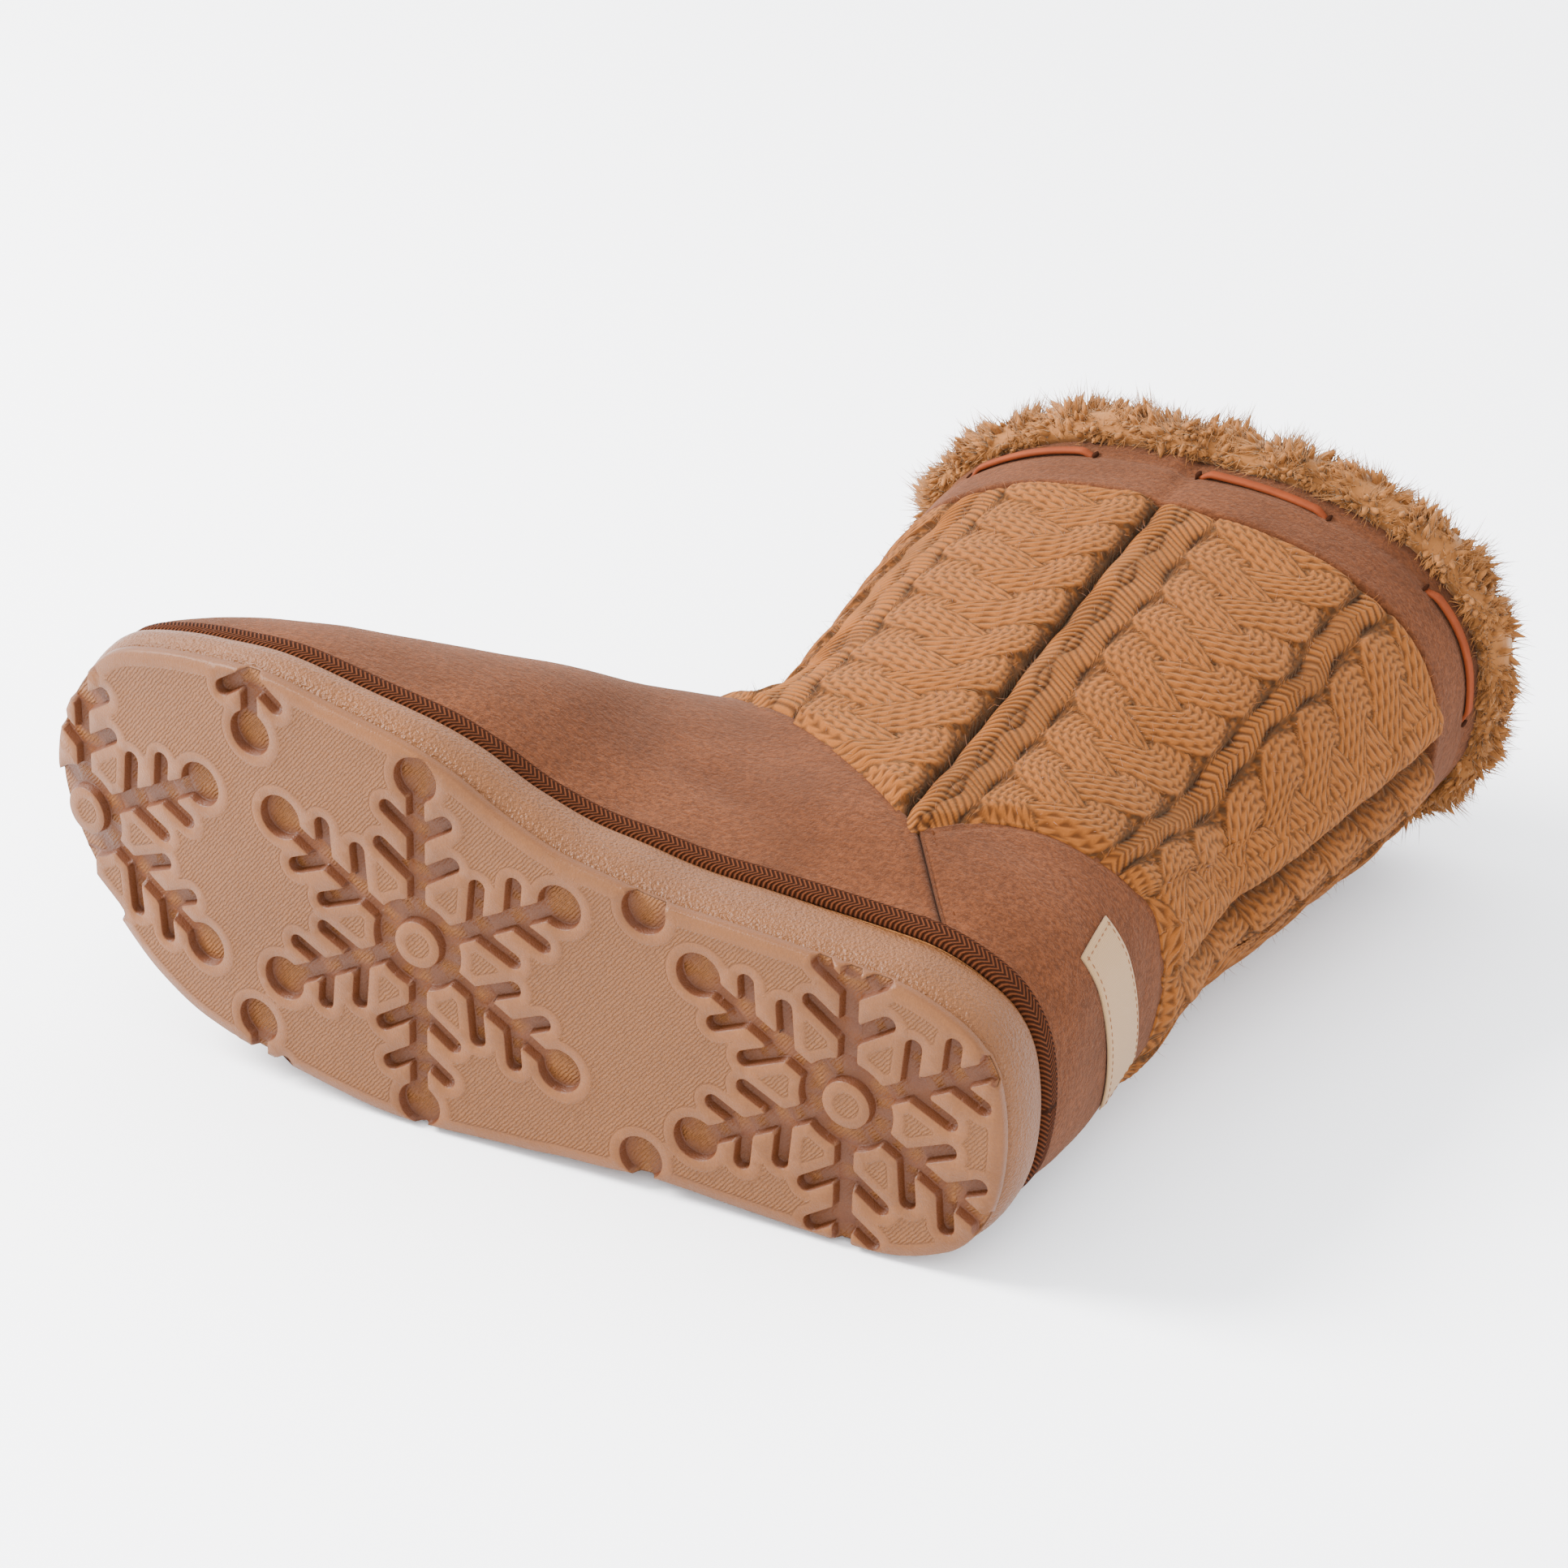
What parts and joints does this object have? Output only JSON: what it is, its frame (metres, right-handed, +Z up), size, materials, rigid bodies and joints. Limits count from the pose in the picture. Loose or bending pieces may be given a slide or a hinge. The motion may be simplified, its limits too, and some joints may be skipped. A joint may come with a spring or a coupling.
{
  "type": "sweater boot",
  "caption": "Right pull-on boot lying on its outer side: suede foot, cable-knit shaft, fur collar, woven heel label and a flat moulded sole with snowflake recesses.",
  "frame": {"origin": "on the floor, under the middle of the bounding box", "axes": "+X along the foot towards the heel, +Y up the shaft towards the collar, +Z up from the floor; the boot lies on its outer side with its tread facing -Y"},
  "size_m": [0.2892, 0.2758, 0.1194],
  "materials": {
    "sole_rubber": "matte moulded, fine twill grain",
    "lining": "plain brushed lining",
    "suede": "napped suede",
    "tape": "woven herringbone tape",
    "knit": "chunky cable knit",
    "fur": "long soft pile",
    "label": "woven",
    "thong": "smooth flat cord"
  },
  "bodies": {
    "root": {"outsole": "sole_rubber", "insole": "lining", "upper": "lining", "vamp": "suede", "counter": "suede", "binding_tape": "tape", "knit_shaft": "knit", "cuff_band": "suede", "collar_fur": "fur", "heel_label": "label", "thong_1": "thong", "thong_2": "thong", "thong_3": "thong", "thong_4": "thong", "thong_5": "thong", "thong_6": "thong"}
  },
  "joints": []
}
